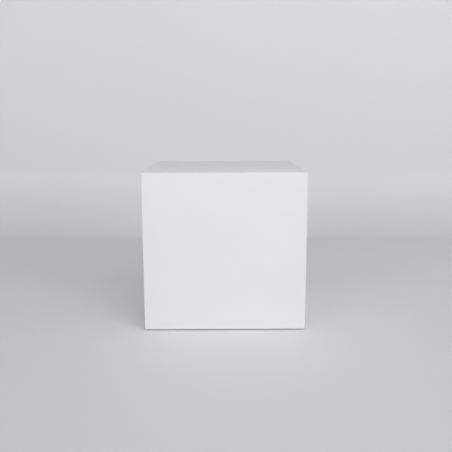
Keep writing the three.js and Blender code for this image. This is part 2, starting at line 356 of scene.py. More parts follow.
class Finish:
    """A material with one Principled shader, and short ways to drive it from patterns."""

    def __init__(self, name, color, roughness, metallic=0.0, specular=0.5):
        self.material = bpy.data.materials.new(name)
        self.material.use_nodes = True
        self.tree = self.material.node_tree
        self.shader = self.tree.nodes["Principled BSDF"]
        self.shader.inputs["Base Color"].default_value = (*color, 1)
        self.shader.inputs["Roughness"].default_value = roughness
        self.shader.inputs["Metallic"].default_value = metallic
        self.shader.inputs["Specular IOR Level"].default_value = specular
        self.material.diffuse_color = (*color, 1)
        self.place = self.node("ShaderNodeTexCoord").outputs["Object"]

    def node(self, kind, **properties):
        """A new node, with its properties set by name."""
        made = self.tree.nodes.new(kind)
        for key, value in properties.items():
            setattr(made, key, value)
        return made

    def join(self, source, target):
        self.tree.links.new(source, target)

    def axes(self, vector=None):
        """The X, Y and Z of a vector, which is the place on the piece if none is given."""
        parts = self.node("ShaderNodeSeparateXYZ")
        self.join(vector or self.place, parts.inputs[0])
        return parts.outputs

    def mapped(self, scale=(1, 1, 1), rotation=(0, 0, 0)):
        """The place on the piece, scaled and turned."""
        made = self.node("ShaderNodeMapping", vector_type="TEXTURE")
        made.inputs["Scale"].default_value = scale
        made.inputs["Rotation"].default_value = rotation
        self.join(self.place, made.inputs["Vector"])
        return made.outputs["Vector"]

    def noise(self, size, detail=2.0, roughness=0.5, place=None, distortion=0.0):
        """Noise whose lumps are about `size` metres across, from 0 to 1."""
        made = self.node("ShaderNodeTexNoise")
        made.inputs["Scale"].default_value = 1 / size
        made.inputs["Detail"].default_value = detail
        made.inputs["Roughness"].default_value = roughness
        made.inputs["Distortion"].default_value = distortion
        self.join(place or self.place, made.inputs["Vector"])
        return made.outputs["Fac"]

    def rings(self, centre, width, bend):
        """Growth rings about a line along X, each from 0 to 1 across its width."""
        flat = self.node("ShaderNodeMapping", vector_type="POINT")
        flat.inputs["Scale"].default_value = (0, 1, 1)
        flat.inputs["Location"].default_value = (0, *centre)
        self.join(self.place, flat.inputs["Vector"])
        length = self.node("ShaderNodeVectorMath", operation="LENGTH")
        self.join(flat.outputs["Vector"], length.inputs[0])
        bent = self.math("ADD", length.outputs["Value"], bend)
        return self.math("FRACT", self.math("DIVIDE", bent, width))

    def lattice(self, spacing):
        """Raised lines that cross, from 0 to 1."""
        across, along = self.axes(self.mapped(rotation=(0, 0, QUARTER / 2)))[:2]
        turns = 4 * QUARTER / spacing
        first = self.math("SINE", self.math("MULTIPLY", across, turns))
        second = self.math("SINE", self.math("MULTIPLY", along, turns))
        return self.spread(self.math("MULTIPLY", first, second), -1, 1)

    def spread(self, value, low, high, to_low=0.0, to_high=1.0):
        """Maps one range of a value to another, and holds it there."""
        made = self.node("ShaderNodeMapRange")
        for index, number in ((1, low), (2, high), (3, to_low), (4, to_high)):
            made.inputs[index].default_value = number
        self.join(value, made.inputs[0])
        return made.outputs[0]

    def math(self, operation, first, second=0.0):
        """One sum of two values, each a number or a socket."""
        made = self.node("ShaderNodeMath", operation=operation)
        for socket, value in zip(made.inputs, (first, second)):
            if isinstance(value, (int, float)):
                socket.default_value = value
            else:
                self.join(value, socket)
        return made.outputs[0]

    def blend(self, factor, first, second):
        """A colour between two, each given as numbers or as a socket."""
        made = self.node("ShaderNodeMix", data_type="RGBA")
        for socket, value in ((made.inputs[6], first), (made.inputs[7], second)):
            if isinstance(value, tuple):
                socket.default_value = (*value, 1)
            else:
                self.join(value, socket)
        self.join(factor, made.inputs[0])
        return made.outputs[2]

    def color(self, source):
        self.join(source, self.shader.inputs["Base Color"])

    def roughness(self, source):
        self.join(source, self.shader.inputs["Roughness"])

    def bump(self, *layers):
        """Relief in layers of (height from 0 to 1, depth in metres)."""
        normal = None
        for height, depth in layers:
            made = self.node("ShaderNodeBump")
            made.inputs["Strength"].default_value = 1
            made.inputs["Distance"].default_value = depth
            self.join(height, made.inputs["Height"])
            if normal:
                self.join(normal, made.inputs["Normal"])
            normal = made.outputs["Normal"]
        self.join(normal, self.shader.inputs["Normal"])


# ---------------------------------------------------------------- materials


def near_arris(finish):
    """From 0 on the faces to 1 on the arrises, where two of X, Y and Z are at the box's limit."""
    x, y, z = finish.axes()
    across = finish.math("ABSOLUTE", x)
    deep = finish.math("ABSOLUTE", y)
    up = finish.math("SUBTRACT", z, TOP - HALF)
    wider = finish.math("MAXIMUM", across, deep)
    narrower = finish.math("MINIMUM", across, deep)
    second = finish.math("MAXIMUM", narrower, finish.math("MINIMUM", wider, up))
    return finish.spread(second, HALF - RUBBED, HALF - ARRIS / 2)


def near_foot(finish):
    """From 1 at the panels' lower edges to 0 where scuffs no longer reach."""
    return finish.spread(finish.axes()["Z"], FOOT, FOOT + SCUFFED, 1.0, 0.0)


def painted_mdf():
    """Sprayed matt lacquer on board: near white, with a fine orange peel and lightly rubbed arrises."""
    finish = Finish("painted_mdf", (0.82, 0.82, 0.83), 0.6, specular=0.4)
    coat = finish.spread(finish.noise(110 * MM, detail=3), 0.3, 0.7)
    hue = finish.blend(coat, (0.814, 0.814, 0.827), (0.826, 0.826, 0.832))
    dust = finish.spread(finish.noise(9 * MM, detail=5, roughness=0.7), 0.68, 0.8, 0.0, 0.35)
    hue = finish.blend(dust, hue, (0.765, 0.762, 0.765))
    arris = near_arris(finish)
    handling = finish.spread(finish.noise(16 * MM, detail=5, roughness=0.65), 0.48, 0.68, 0.0, 0.5)
    hue = finish.blend(finish.math("MULTIPLY", arris, handling), hue, (0.70, 0.69, 0.675))
    strokes = finish.noise(7 * MM, detail=4, roughness=0.7, place=finish.mapped(scale=(4, 4, 1)))
    scuffs = finish.math("MULTIPLY", near_foot(finish), finish.spread(strokes, 0.52, 0.7, 0.0, 0.4))
    finish.color(finish.blend(scuffs, hue, (0.66, 0.655, 0.65)))
    coat_gloss = finish.spread(finish.noise(40 * MM, detail=4), 0.3, 0.7, 0.48, 0.58)
    finish.roughness(finish.math("SUBTRACT", coat_gloss, finish.math("MULTIPLY", arris, 0.1)))
    peel = finish.noise(3.4 * MM, detail=2)
    wave = finish.noise(70 * MM, detail=1)
    finish.bump((wave, 0.08 * MM), (peel, 0.05 * MM))
    return finish.material


def raw_mdf():
    """Fibreboard without paint: tan, with pale and dark fibres, and overspray by the floor."""
    finish = Finish("raw_mdf", (0.43, 0.29, 0.17), 0.86, specular=0.25)
    clouds = finish.spread(finish.noise(60 * MM, detail=5, roughness=0.65), 0.3, 0.7)
    board = finish.blend(clouds, (0.42, 0.280, 0.162), (0.465, 0.318, 0.190))
    fine = finish.noise(1.1 * MM, detail=4, roughness=0.75, distortion=1.5)
    dark = finish.spread(fine, 0.56, 0.72, 0.0, 0.5)
    board = finish.blend(dark, board, (0.27, 0.165, 0.085))
    pale = finish.spread(fine, 0.30, 0.42, 0.45, 0.0)
    board = finish.blend(pale, board, (0.62, 0.47, 0.31))
    long_fibres = finish.noise(2.6 * MM, detail=3, roughness=0.6, distortion=3.0)
    board = finish.blend(finish.spread(long_fibres, 0.62, 0.74, 0.0, 0.35), board, (0.30, 0.19, 0.10))
    drift = finish.spread(finish.noise(18 * MM, detail=2), 0.3, 0.7, -0.5 * OVERSPRAY, 0.5 * OVERSPRAY)
    specks = finish.noise(1.4 * MM, detail=3, roughness=0.7)
    mist = finish.spread(specks, 0.3, 0.7, -0.7 * OVERSPRAY, 0.7 * OVERSPRAY)
    reach = finish.math("ADD", finish.math("ADD", finish.axes()["Z"], drift), mist)
    spray = finish.spread(reach, FOOT, FOOT + OVERSPRAY, 0.9, 0.0)
    finish.color(finish.blend(spray, board, (0.78, 0.78, 0.79)))
    finish.roughness(finish.spread(fine, 0.3, 0.7, 0.78, 0.92))
    finish.bump((fine, 0.05 * MM))
    return finish.material


def pine():
    """Planed softwood whose grain runs along the piece's own X."""
    finish = Finish("pine", (0.66, 0.46, 0.25), 0.62, specular=0.3)
    bend = finish.noise(70 * MM, detail=3, place=finish.mapped(scale=(7, 1, 1)))
    rings = finish.rings(RING_CENTRE, RING_WIDTH, finish.spread(bend, 0, 1, 0, 16 * MM))
    late = finish.math("POWER", finish.spread(rings, 0.25, 0.95), 2.2)
    sudden = finish.spread(rings, 0.95, 1.0, 1.0, 0.0)
    uneven = finish.noise(30 * MM, detail=2, place=finish.mapped(scale=(12, 1, 1)))
    strength = finish.spread(uneven, 0.3, 0.7, 0.45, 1)
    band = finish.math("MULTIPLY", late, finish.math("MULTIPLY", sudden, strength))
    wood = finish.blend(band, (0.74, 0.555, 0.335), (0.52, 0.315, 0.145))
    fibres = finish.noise(0.6 * MM, detail=3, place=finish.mapped(scale=(60, 1, 1)))
    wood = finish.blend(finish.spread(fibres, 0.4, 0.8, 0.0, 0.3), wood, (0.48, 0.29, 0.13))
    patches = finish.noise(50 * MM, detail=3, place=finish.mapped(scale=(5, 1, 1)))
    finish.color(finish.blend(finish.spread(patches, 0.4, 0.75, 0, 0.35), wood, (0.66, 0.43, 0.22)))
    finish.roughness(finish.spread(band, 0, 1, 0.68, 0.54))
    finish.bump((band, 0.03 * MM), (fibres, 0.05 * MM))
    return finish.material


def beech():
    """Pressed beech: short flecks, and the cross-hatching that the press leaves."""
    finish = Finish("beech", (0.50, 0.30, 0.16), 0.7, specular=0.3)
    tilt = finish.mapped(scale=(9, 1, 1), rotation=(0, 0, math.radians(40)))
    flecks = finish.noise(0.9 * MM, detail=2, place=tilt)
    finish.color(finish.blend(finish.spread(flecks, 0.35, 0.7), (0.58, 0.37, 0.21), (0.36, 0.19, 0.09)))
    finish.bump((finish.lattice(2.2 * MM), 0.12 * MM), (flecks, 0.05 * MM))
    return finish.material


def zinc_steel():
    """Bright zinc plating, with faint clouding where it was handled."""
    finish = Finish("zinc_steel", (0.60, 0.61, 0.63), 0.32, metallic=1.0)
    clouds = finish.noise(5 * MM, detail=4, roughness=0.6)
    tint = finish.blend(finish.spread(clouds, 0.35, 0.65), (0.56, 0.575, 0.60), (0.64, 0.63, 0.61))
    grains = finish.noise(0.7 * MM, detail=3)
    finish.color(finish.blend(finish.spread(grains, 0.6, 0.85, 0, 0.25), tint, (0.47, 0.47, 0.48)))
    finish.roughness(finish.spread(clouds, 0.3, 0.7, 0.24, 0.42))
    finish.bump((grains, 0.015 * MM))
    return finish.material


def nylon_black():
    """Moulded nylon: nearly black, with the dull grain of the mould."""
    finish = Finish("nylon_black", (0.018, 0.018, 0.020), 0.42, specular=0.45)
    grain = finish.noise(0.55 * MM, detail=3, roughness=0.6)
    marks = finish.noise(7 * MM, detail=3)
    shades = finish.spread(marks, 0.35, 0.7)
    finish.color(finish.blend(shades, (0.016, 0.016, 0.018), (0.028, 0.028, 0.030)))
    finish.roughness(finish.spread(marks, 0.3, 0.7, 0.38, 0.52))
    finish.bump((grain, 0.03 * MM))
    return finish.material


def anti_slip():
    """Dense rubber that has picked up some dust."""
    finish = Finish("anti_slip", (0.03, 0.03, 0.032), 0.88, specular=0.25)
    dust = finish.noise(2.4 * MM, detail=5, roughness=0.7)
    finish.color(finish.blend(finish.spread(dust, 0.5, 0.75), (0.026, 0.026, 0.028), (0.085, 0.083, 0.08)))
    finish.roughness(finish.spread(dust, 0.3, 0.7, 0.82, 0.95))
    finish.bump((dust, 0.04 * MM))
    return finish.material


PAINT = painted_mdf()
RAW = raw_mdf()
PINE = pine()
BEECH = beech()
ZINC = zinc_steel()
NYLON = nylon_black()
RUBBER = anti_slip()


# ---------------------------------------------------------------- biscuits


def lens_outline(length, half_width):
    """Two arcs of the cutter's radius, back to back, with square ends where they would meet."""
    from_middle = CUTTER_RADIUS - half_width
    half_angle = math.asin(length / 2 / CUTTER_RADIUS)
    points = []
    for sign in (1, -1):
        for k in range(LENS_STEPS + 1):
            turn = half_angle * (1 - 2 * k / LENS_STEPS)
            out = CUTTER_RADIUS * math.cos(turn) - from_middle
            points.append((sign * CUTTER_RADIUS * math.sin(turn), sign * out))
    return points


def lens(length, half_width, thickness, ease=0.0):
    """A biscuit or its slot, lying in XY, with its long edges eased."""
    half = thickness / 2
    levels = [(-half, ease), (half, ease)]
    if ease:
        levels[1:1] = [(-half + ease, 0), (half - ease, 0)]
    loops = []
    for height, inset in levels:
        shrink_x = 1 - 2 * inset / length
        shrink_y = 1 - inset / half_width
        outline = lens_outline(length, half_width)
        loops.append([(x * shrink_x, y * shrink_y, height) for x, y in outline])
    return loft(loops)


def mitre_frame(along, through, centre):
    """X along the joint, Y squarely through the mitre, and Z outwards from the inner corner."""
    outwards = along.cross(through)
    axes = Matrix((along, through, outwards)).transposed().to_4x4()
    return Matrix.Translation(centre) @ axes


def joint_frames():
    """Where each biscuit lies, by its CAD node."""
    along_x = Vector((1, 0, 0))
    along_z = Vector((0, 0, 1))
    top_through = Vector((0, 1, 1)).normalized()
    corner_through = Vector((-1, -1, 0)).normalized()
    frames = {}
    for k in range(4):
        turn = Matrix.Rotation(k * QUARTER, 3, "Z")
        for number in (1, 2):
            top_node = f"{SIDES[k]}_top_biscuit_{number}"
            frames[top_node] = mitre_frame(turn @ along_x, turn @ top_through, middle(top_node))
            node = f"{CORNERS[k]}_corner_biscuit_{number}"
            frames[node] = mitre_frame(along_z, turn @ corner_through, middle(node))
    return frames


JOINTS = joint_frames()


def cut_biscuit_slots(mesh, nodes):
    """Cuts the slots of these biscuits in one pass."""
    slots = [(lens(**BISCUIT_SLOT), JOINTS[node]) for node in nodes]
    return combine(mesh, joined(slots), RAW)


def make_biscuits():
    mesh = to_mesh("pressed_biscuit", lens(**BISCUIT), BEECH)
    shade(mesh)
    for node, matrix in JOINTS.items():
        stand_in(f"pressed_{node}", mesh, BODY, node, matrix)


# ---------------------------------------------------------------- outer panels


def arris_leans():
    """How far a skin leans over at each step from its flat face to the mitre."""
    return [math.tan(QUARTER / 2 * k / ARRIS_STEPS) for k in range(ARRIS_STEPS + 1)]


def skin_columns():
    """From one mitre to the other: where the flat part ends, and how far the skin leans there."""
    left = [(-CORE, -lean) for lean in reversed(arris_leans())]
    return left + [(CORE, lean) for lean in arris_leans()]


def skin_rows():
    """From the foot to the top mitre: height, upward lean, and how far the skin is set back."""
    rows = []
    for k in range(FOOT_ARRIS_STEPS + 1):
        turn = QUARTER * (1 - k / FOOT_ARRIS_STEPS)
        height = FOOT + FOOT_ARRIS * (1 - math.sin(turn))
        rows.append((height, 0, FOOT_ARRIS * (1 - math.cos(turn))))
    return rows + [(TOP - ARRIS, lean, 0) for lean in arris_leans()]


def add_grid(bm, points):
    """Quads between rows of points. Returns the rows of vertices."""
    rows = [[bm.verts.new(point) for point in row] for row in points]
    for low, high in zip(rows, rows[1:]):
        for k in range(len(low) - 1):
            bm.faces.new((low[k], low[k + 1], high[k + 1], high[k]))
    return rows


def add_face(bm, corners, material=0):
    bm.faces.new(corners).material_index = material


def side_skin():
    points = []
    for height, up, inset in skin_rows():
        row = []
        for core_x, across in skin_columns():
            lean = Vector((across, -1, up)).normalized()
            row.append(Vector((core_x, -CORE, height)) + lean * (ARRIS - inset))
        points.append(row)
    return points


def front_board():
    """The front panel: a painted skin round its arrises, with raw mitres and a raw inner face."""
    bm = bmesh.new()
    rows = add_grid(bm, side_skin())
    toes, heels, crowns = [], [], []
    eased = INSIDE + BOARD_EASE
    for side in (-1, 1):
        toes.append(bm.verts.new((side * eased, -eased, FOOT)))
        heels.append(bm.verts.new((side * INSIDE, -INSIDE, FOOT + BOARD_EASE)))
        crowns.append(bm.verts.new((side * INSIDE, -INSIDE, CEILING)))
    add_face(bm, [*rows[0], toes[1], toes[0]])
    add_face(bm, [*toes, heels[1], heels[0]])
    add_face(bm, [*heels, crowns[1], crowns[0]], 1)
    add_face(bm, [*rows[-1], crowns[1], crowns[0]], 1)
    for end, k in ((0, 0), (-1, 1)):
        add_face(bm, [row[end] for row in rows] + [crowns[k], heels[k], toes[k]], 1)
    return bm


def top_board():
    """The top panel, mitred all round."""
    bm = bmesh.new()
    points = []
    for core_y, back in skin_columns():
        row = []
        for core_x, across in skin_columns():
            lean = Vector((across, back, 1)).normalized()
            row.append(Vector((core_x, core_y, TOP - ARRIS)) + lean * ARRIS)
        points.append(row)
    rows = add_grid(bm, points)
    signs = ((-1, -1), (1, -1), (1, 1), (-1, 1))
    inner = [bm.verts.new((x * INSIDE, y * INSIDE, CEILING)) for x, y in signs]
    add_face(bm, inner, 1)
    add_face(bm, [*rows[0], inner[1], inner[0]], 1)
    add_face(bm, [*rows[-1], inner[2], inner[3]], 1)
    add_face(bm, [row[0] for row in rows] + [inner[3], inner[0]], 1)
    add_face(bm, [row[-1] for row in rows] + [inner[2], inner[1]], 1)
    return bm


def finish_board(name, mesh, node):
    shade(mesh)
    keep_flats_flat(stand_in(name, mesh, BODY, node))


def painted_board(name, bm, biscuits):
    """A panel's mesh with its materials and its biscuit slots."""
    return cut_biscuit_slots(to_mesh(name, bm, PAINT, RAW), biscuits)


def make_panels():
    corners = (CORNERS[0], CORNERS[3])
    biscuits = [f"front_top_biscuit_{number}" for number in (1, 2)]
    biscuits += [f"{corner}_corner_biscuit_{number}" for corner in corners for number in (1, 2)]
    board = painted_board("board", front_board(), biscuits)
    for k, side in enumerate(SIDES):
        mesh = board.copy()
        mesh.transform(Matrix.Rotation(k * QUARTER, 4, "Z"))
        finish_board(f"painted_{side}_panel", mesh, f"{side}_panel")
    biscuits = [f"{side}_top_biscuit_{number}" for side in SIDES for number in (1, 2)]
    finish_board("painted_top_panel", painted_board("top", top_board(), biscuits), "top_panel")


# ---------------------------------------------------------------- base panel


def stadium(offset, x, height):
    """The outline of a lifting slot, grown by an offset."""
    radius = LIFTING_SLOT["width"] / 2
    straight = LIFTING_SLOT["length"] / 2 - radius
    loop = []
    for end in (1, -1):
        for k in range(SLOT_END_STEPS + 1):
            angle = math.pi * k / SLOT_END_STEPS + (0 if end > 0 else math.pi)
            reach = radius + offset
            y = end * straight + reach * math.sin(angle)
            loop.append((x + reach * math.cos(angle), y, height))
    return loop


def lifting_slot(x):
    """What a lifting slot takes out of the base panel, with its edges rounded over."""
    radius = LIFTING_SLOT["round_over"]
    rounding = []
    for k in range(ROUND_OVER_STEPS + 1):
        turn = QUARTER * (k / ROUND_OVER_STEPS)
        rounding.append((radius * (1 - math.cos(turn)), radius * (1 - math.sin(turn))))
    levels = [(radius, BASE_LOW.z - BEYOND)]
    levels += [(offset, BASE_LOW.z + rise) for offset, rise in reversed(rounding)]
    levels += [(offset, BASE_HIGH.z - rise) for offset, rise in rounding]
    levels.append((radius, BASE_HIGH.z + BEYOND))
    return loft([stadium(offset, x, height) for offset, height in levels])


def square_loop(half_x, half_y, height):
    return [(-half_x, -half_y, height), (half_x, -half_y, height),
            (half_x, half_y, height), (-half_x, half_y, height)]


def base_slab():
    """The board itself, with its edges eased."""
    half = BASE_HIGH.x
    loops = []
    for height, inset in ((BASE_LOW.z, BOARD_EASE), (BASE_LOW.z + BOARD_EASE, 0),
                          (BASE_HIGH.z - BOARD_EASE, 0), (BASE_HIGH.z, BOARD_EASE)):
        loops.append(square_loop(half - inset, half - inset, height))
    return loft(loops)


def countersink():
    """What a screw's clearance hole takes out, from the underside of the base panel upwards."""
    head = SCREW["head"] + FIT
    shank = SCREW_THREAD["radius"] + FIT
    cut = Turning(even_angles(HOLE_SIDES))
    cut.rings([(head, -BEYOND), (head, SCREW["rim"]), (shank, SCREW["rim"] + head - shank)])
    cut.ring(shank, SCREW["length"] + BEYOND)
    return cut.capped()


def barrel_hole():
    """What a tee nut's barrel takes out of the base panel."""
    reach = TEE_NUT["barrel"] + FIT
    cut = Turning()
    cut.rings([(reach, BASE_LOW.z - BEYOND), (reach, BASE_HIGH.z + BEYOND)])
    return cut.capped()


def screw_places():
    """Where each base screw stands, by its CAD node."""
    nodes = [f"{side}_base_screw_{number}" for side in SIDES for number in (1, 2)]
    return {node: middle(node) for node in nodes}


def foot_places():
    """Where each levelling foot stands, by its corner."""
    return {corner: middle(f"{corner}_stem") for corner in CORNERS}


def upright(at, height=0.0):
    """Stands a piece over a point, at a height."""
    return Matrix.Translation((at.x, at.y, height))


def make_base():
    cutters = [(lifting_slot(side * LIFTING_SLOT_X), Matrix()) for side in (-1, 1)]
    cutters += [(countersink(), upright(at, BASE_LOW.z)) for at in screw_places().values()]
    for at in foot_places().values():
        cutters.append((barrel_hole(), upright(at)))
        cutters += [(prong(FIT), upright(at) @ turn) for turn in quarter_turns()]
    mesh = combine(to_mesh("base", base_slab(), RAW), joined(cutters), RAW)
    shade(mesh)
    keep_flats_flat(stand_in("slotted_base_panel", mesh, BODY, "base_panel"))


# ---------------------------------------------------------------- battens


def round_square(half, arris, x):
    """A batten's section, across X."""
    loop = []
    for corner, signs in enumerate(((1, 1), (-1, 1), (-1, -1), (1, -1))):
        square = Vector(signs) * (half - arris)
        for k in range(BATTEN_ARRIS_STEPS + 1):
            angle = QUARTER * (corner + k / BATTEN_ARRIS_STEPS)
            lean = Vector((math.cos(angle), math.sin(angle)))
            loop.append((x, *(square + lean * arris)))
    return loop


def batten(length, start):
    """A planed batten along X from a place in the timber, with its sawn ends just eased."""
    half = BATTEN / 2
    loops = []
    for x, inset in ((0, BATTEN_END), (BATTEN_END, 0), (length - BATTEN_END, 0), (length, BATTEN_END)):
        loops.append(round_square(half - inset, BATTEN_ARRIS, start + x))
    return loft(loops)


def batten_frame(low, high, start):
    """What lays a batten along the longest side of its CAD node's box, and that side's length."""
    size = high - low
    along = max(range(3), key=lambda axis: size[axis])
    turn = (Matrix(), Matrix.Rotation(QUARTER, 4, "Z"), Matrix.Rotation(-QUARTER, 4, "Y"))[along]
    shift = Matrix.Translation((-start - size[along] / 2, 0, 0))
    return Matrix.Translation((low + high) / 2) @ turn @ shift, size[along]


def pilot_hole():
    """What a screw takes out of its bearer, from the underside of the base panel upwards."""
    radius = PILOT["radius"]
    length = SCREW["length"]
    cut = Turning(even_angles(PILOT_SIDES))
    cut.rings([(radius, 0), (radius, length - SCREW["point"]), (PILOT["tip"], length + BEYOND)])
    return cut.capped()


def make_battens():
    nodes = [f"{corner}_post" for corner in CORNERS]
    nodes += [f"{side}_top_rail" for side in SIDES]
    nodes += [f"{side}_bearer" for side in SIDES]
    for k, node in enumerate(nodes):
        low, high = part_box(node)
        start = k * TIMBER_STEP
        matrix, length = batten_frame(low, high, start)
        mesh = to_mesh(node, batten(length, start), PINE)
        if node.endswith("bearer"):
            holes = []
            for number in (1, 2):
                screw = middle(node.replace("bearer", f"base_screw_{number}"))
                holes.append((pilot_hole(), matrix.inverted() @ upright(screw, BASE_LOW.z)))
            mesh = combine(mesh, joined(holes), PINE)
        shade(mesh)
        keep_flats_flat(stand_in(f"planed_{node}", mesh, BODY, node, matrix))


# ---------------------------------------------------------------- base screws


def screw_body():
    """A countersunk screw from its head's face at z = 0 up to its point."""
    length, head, rim = SCREW["length"], SCREW["head"], SCREW["rim"]
    shank, fillet = SCREW["shank"], SCREW["fillet"]
    start, crest = SCREW_THREAD["from"], SCREW_THREAD["radius"]
    root = crest - SCREW_THREAD["depth"]

    def ease(reach, height):
        taper = min(1, (length - height) / SCREW["point"])
        run_in = root + max(0, height - start)
        return max(SCREW["tip"], min(reach, run_in) * taper)

    body = Turning(even_angles(SCREW_SIDES))
    body.rings([(0.3 * MM, 0), (head - 0.15 * MM, 0), (head, 0.12 * MM), (head, rim)])
    body.rings(arc((shank + fillet, rim + head - shank - 0.1 * MM), fillet, 225, 180, 4))
    body.rings([(shank, start - 0.3 * MM), (root, start - 0.1 * MM)])
    shape = ((0.0, root), (0.45, root), (0.68, crest), (0.76, crest))
    body.thread(start, length - SCREW["blunt"], SCREW_THREAD["pitch"], shape, ease)
    return body.capped()


def recess_bar(sections):
    """A bar that narrows with depth, through (half length, half width, depth) in millimetres."""
    return loft([square_loop(*(size * MM for size in section)) for section in sections])


def cross_recess():
    """A cross recess whose wings narrow towards its floor, with four fine ticks between them."""
    hub = Turning(even_angles(HUB_SIDES))
    hub.rings([(radius * MM, depth * MM) for radius, depth in RECESS_HUB])
    cuts = [(recess_bar(RECESS_WING), quarter) for quarter in (0, 1)]
    cuts.append((hub.capped(), 0))
    cuts += [(recess_bar(RECESS_TICK), quarter) for quarter in (0.5, 1.5)]
    return [(cut, Matrix.Rotation(quarter * QUARTER, 4, "Z")) for cut, quarter in cuts]


def make_screws():
    """One screw for all eight places, each turned as its driver left it."""
    mesh = to_mesh("screw", screw_body(), ZINC)
    for tool, matrix in cross_recess():
        mesh = combine(mesh, joined([(tool, matrix)]), ZINC)
    shade(mesh)
    for (node, at), turn in zip(screw_places().items(), SCREW_TURNS):
        matrix = upright(at, BASE_LOW.z) @ Matrix.Rotation(turn, 4, "Z")
        stand_in(f"threaded_{node}", mesh, BODY, node, matrix)


# ---------------------------------------------------------------- levelling feet


def span(part):
    """The heights between which a part of a foot lies in the frame."""
    return [corner.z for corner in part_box(f"{CORNERS[0]}_{part}")]


def quarter_turns():
    return [Matrix.Rotation(k * QUARTER, 4, "Z") for k in range(4)]


def metric_shape(clearance=0.0):
    """The M8 thread, as (share of the pitch, radius)."""
    crest = THREAD_RADIUS + clearance
    root = THREAD_RADIUS - THREAD_DEPTH + clearance
    return ((0.0, root), (0.25, root), (0.56, crest), (0.69, crest))


def prong(margin=0.0):
    """One prong of a tee nut, bent up from the flange. The margin grows it into its pocket."""
    flange_top = span("tee_nut")[0] + TEE_NUT["flange"]
    outer = TEE_NUT["prong_at"] + margin
    loops = []
    for rise, half_width, thickness in PRONG:
        half = half_width * MM + margin
        inner = thickness * MM + 2 * margin - outer
        height = flange_top + rise * MM + (margin if rise == PRONG_TIP else 0)
        loops.append([(-half, -outer, height), (half, -outer, height),
                      (half, inner, height), (-half, inner, height)])
    return loft(loops)


def flange_angles():
    """Even angles, with the ends of the four flats that the prongs were cut from."""
    angles = even_angles(FLATTED_SIDES)
    for k in range(4):
        for side in (-1, 1):
            for nudge in (-FLAT_CORNER, FLAT_CORNER):
                angles.append((k * QUARTER + side * FLAT_END + nudge) % (4 * QUARTER))
    return sorted(angles)


def flange_rim(inset=0.0):
    """The flange's reach: round, but for a flat where each prong was bent up."""
    def reach(angle):
        offset = (angle + QUARTER / 2) % QUARTER - QUARTER / 2
        if abs(offset) < FLAT_END:
            return (TEE_NUT["prong_at"] - inset) / math.cos(offset)
        return TEE_NUT["rim"] - inset

    return reach


def tee_nut_body():
    """A tee nut without its prongs: barrel, flange and thread."""
    low, high = span("tee_nut")
    flange_top = low + TEE_NUT["flange"]
    barrel, fillet = TEE_NUT["barrel"], TEE_NUT["fillet"]
    crest = THREAD_RADIUS + THREAD_CLEARANCE
    thread_low = low + 0.5 * MM
    thread_high = high - 0.3 * MM

    def ease(reach, height):
        return max(reach, crest - min(height - thread_low, thread_high - height))

    nut = Turning(flange_angles())
    nut.rings([(crest + 0.35 * MM, high), (barrel - 0.2 * MM, high), (barrel, high - 0.2 * MM)])
    nut.rings(arc((barrel + fillet, flange_top + fillet), fillet, 180, 270, 4))
    for inset, height in ((0.4, flange_top), (0.1, flange_top - 0.15 * MM), (0, flange_top - 0.4 * MM),
                          (0, low + 0.5 * MM), (0.15, low + 0.15 * MM), (0.5, low)):
        nut.ring(flange_rim(inset * MM), height)
    nut.rings([(crest + 1.1 * MM, low), (crest + 0.7 * MM, low + 0.1 * MM), (crest + 0.1 * MM, thread_low)])
    nut.thread(thread_low, thread_high, PITCH, metric_shape(THREAD_CLEARANCE), ease)
    return nut.closed()


def make_tee_nuts():
    mesh = to_mesh("tee_nut", tee_nut_body(), ZINC)
    mesh = combine(mesh, joined([(prong(), turn) for turn in quarter_turns()]), ZINC, "UNION")
    shade(mesh)
    for corner, at in foot_places().items():
        node = f"{corner}_tee_nut"
        stand_in(f"pronged_{node}", mesh, BODY, node, upright(at))


def hexagon(limit):
    """A hexagon's reach, where a cone or a turned edge limits it."""
    flat = HEXAGON["across_flats"] / 2

    def reach(angle):
        offset = (angle + math.pi / 6) % (math.pi / 3) - math.pi / 6
        return min(limit, flat / math.cos(offset))

    return reach


def stem_body():
    """A stem turned from hexagon bar: a plain foot, the hexagon collar, and the thread above it."""
    low, high = span("stem")
    hex_low, hex_high = HEXAGON["from"], HEXAGON["to"]
    flat = HEXAGON["across_flats"] / 2
    slope = math.tan(math.radians(HEXAGON["chamfer"]))
    foot = THREAD_RADIUS - 0.1 * MM
    root = THREAD_RADIUS - THREAD_DEPTH
    thread_low = hex_high + 0.45 * MM

    def ease(reach, height):
        return min(reach, root + 0.9 * max(0, min(height - thread_low, high - height)))

    stem = Turning(even_angles(FLATTED_SIDES))
    stem.rings(arc((foot - MM, low + MM), MM, -90, 0, 5))
    stem.ring(foot, hex_low)
    for out in HEXAGON_STEPS:
        stem.ring(hexagon(flat + out * MM), hex_low + out * slope * MM)
    for out in reversed(HEXAGON_STEPS):
        stem.ring(hexagon(flat + out * MM), hex_high - out * slope * MM)
    stem.rings([(root + 0.4 * MM, hex_high), (root + 0.1 * MM, hex_high + 0.1 * MM)])
    stem.ring(root, hex_high + 0.35 * MM)
    stem.thread(thread_low, high, PITCH, metric_shape(), ease)
    stem.rings([(root - 0.8 * MM, high), (0.9 * MM, high), (0.3 * MM, high - 0.9 * MM)])
    return stem.capped()


def fluted(radius, depth):
    """A round reach with shallow flutes, for fingers to grip."""
    def reach(angle):
        return radius - depth * max(0, math.cos(PAD["flutes"] * angle)) ** 2

    return reach


